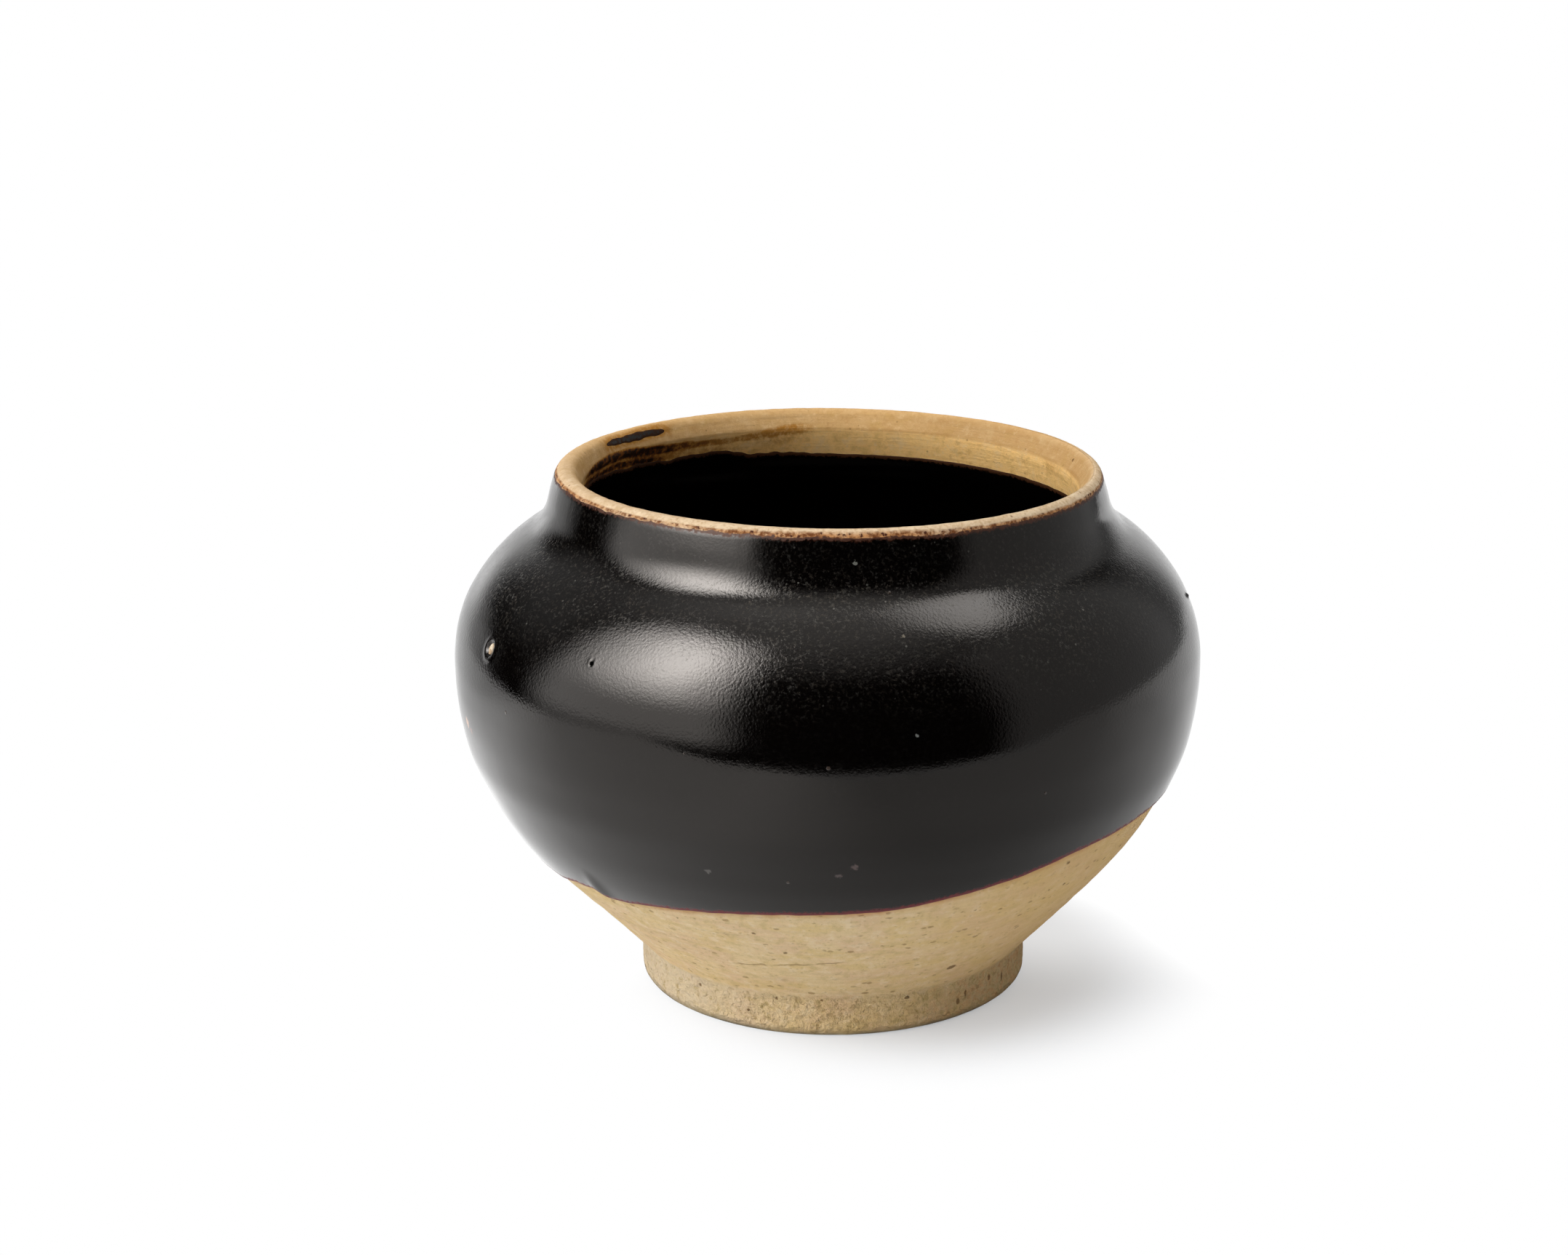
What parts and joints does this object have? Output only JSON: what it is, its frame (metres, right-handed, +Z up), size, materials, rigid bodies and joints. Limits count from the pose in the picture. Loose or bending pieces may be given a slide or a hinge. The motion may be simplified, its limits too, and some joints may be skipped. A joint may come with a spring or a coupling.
{
  "type": "glazed ceramic jar",
  "caption": "Squat wheel-thrown stoneware jar with a short upright neck, open mouth, round belly, bare lip and turned foot ring, and dark glaze inside and out.",
  "frame": {"origin": "on the surface that the jar stands on, under the axis of the belly", "axes": "+Z up along the wheel axis; -Y is the side that the picture faces, +X is to its right"},
  "size_m": [0.15, 0.15, 0.1061],
  "materials": {
    "stoneware_clay": "bare fired clay, matt and slightly gritty, with fine turning lines and pits",
    "dark_glaze": "thick near-black glaze, glossy, softly rippled, with fine brown speckle",
    "pale_grit": "rough pale mineral grain"
  },
  "bodies": {
    "root": {"stoneware_body": "stoneware_clay", "outer_glaze": "dark_glaze", "inner_glaze": "dark_glaze", "rim_glaze_splash": "dark_glaze", "kiln_grit": "pale_grit"}
  },
  "joints": []
}
